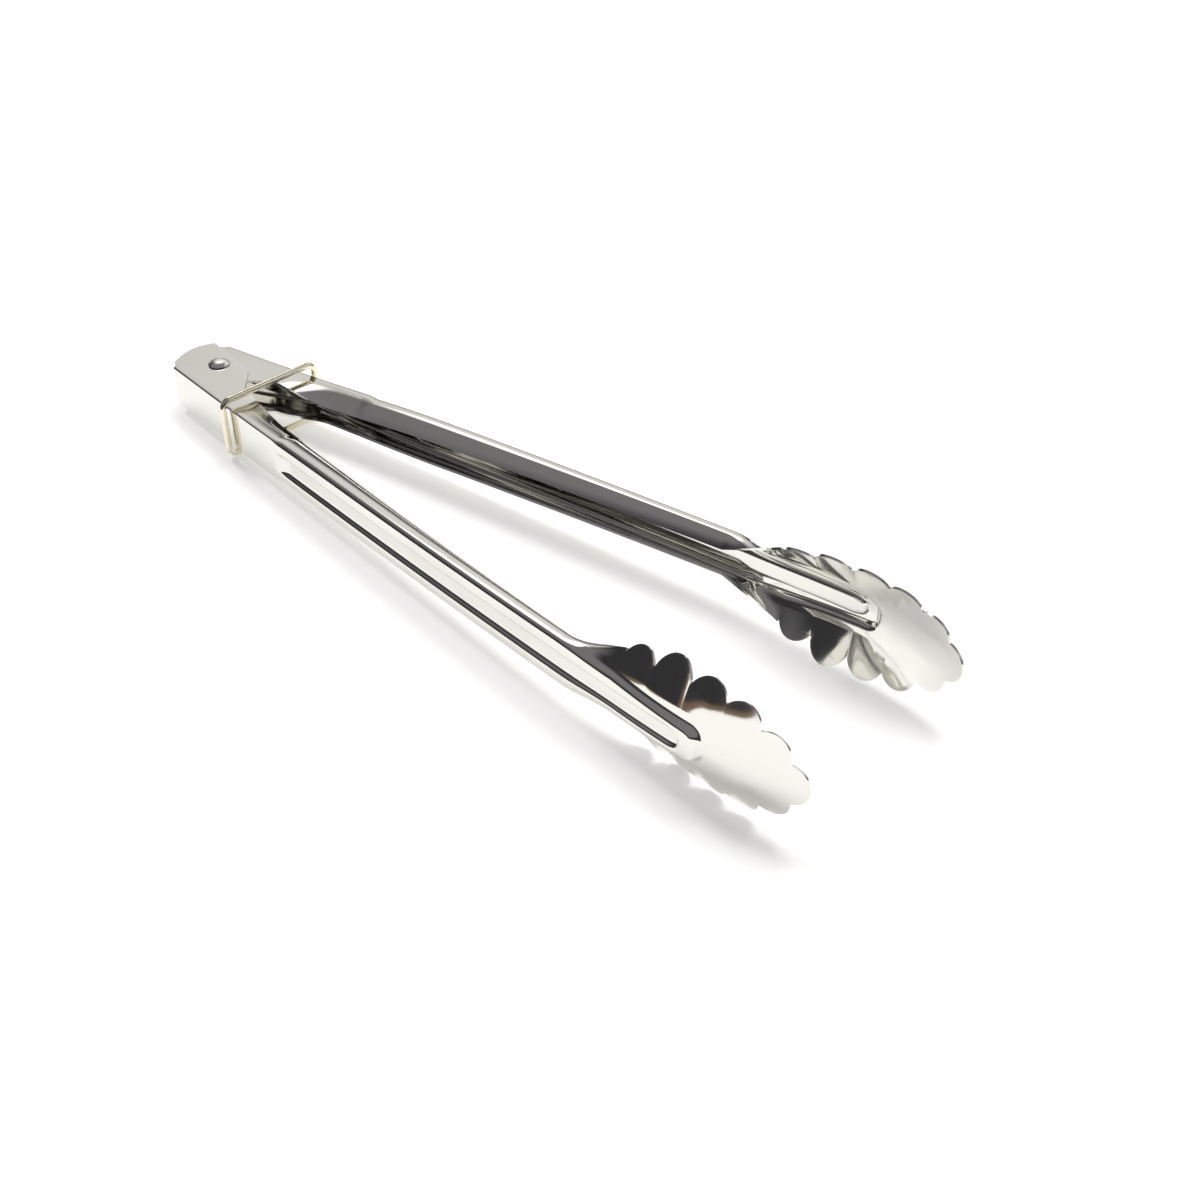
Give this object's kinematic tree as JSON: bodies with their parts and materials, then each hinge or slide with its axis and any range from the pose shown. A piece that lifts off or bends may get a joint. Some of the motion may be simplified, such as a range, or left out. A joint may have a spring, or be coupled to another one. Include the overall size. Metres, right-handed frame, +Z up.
{
  "type": "spring loaded kitchen tongs",
  "caption": "Pressed stainless kitchen tongs with scalloped spoons, a riveted spring hinge and a sliding wire ring that holds them closed.",
  "frame": {"origin": "on the table under the middle of the open tongs as they lie", "axes": "+X from the hinge to the tips, +Y from the outer arm to the inner arm, +Z up; the hinge axis leans 2.1 degrees back from +Z because the tongs rest on the ring and the spoons' lowest lobes"},
  "size_m": [0.3004, 0.0806, 0.0373],
  "materials": {
    "arm_steel": "mirror polished stainless",
    "rivet_steel": "polished",
    "spring_wire": "drawn wire",
    "ring_wire": "warm nickel plate"
  },
  "bodies": {
    "hinge": {"hinge_rivet": "rivet_steel", "torsion_spring": "spring_wire"},
    "outer_arm": {"outer_arm": "arm_steel"},
    "inner_arm": {"inner_arm": "arm_steel"},
    "ring": {"locking_ring": "ring_wire"}
  },
  "joints": [
    {"name": "outer_arm_swing", "type": "hinge", "parent": "hinge", "child": "outer_arm", "pos_m": [-0.13287, 0, 0.00992], "axis": [-0.0362, 0, 0.9993], "range_deg": [0, 6.2], "stiffness_Nm_per_rad": 0.3, "springref_deg": -34.38, "deforming": ["torsion_spring"]},
    {"name": "inner_arm_swing", "type": "hinge", "parent": "hinge", "child": "inner_arm", "pos_m": [-0.13287, 0, 0.00992], "axis": [-0.0362, 0, 0.9993], "range_deg": [-6.2, 0]},
    {"name": "ring_slide", "type": "slide", "parent": "hinge", "child": "ring", "axis": [0.9993, 0, 0.0362], "range_m": [0, 0.04328]}
  ],
  "couplings": [
    {"joint": "inner_arm_swing", "follows": "outer_arm_swing", "ratio": -1},
    {"joint": "ring_slide", "follows": "outer_arm_swing", "m_per_rad": 0.4}
  ]
}
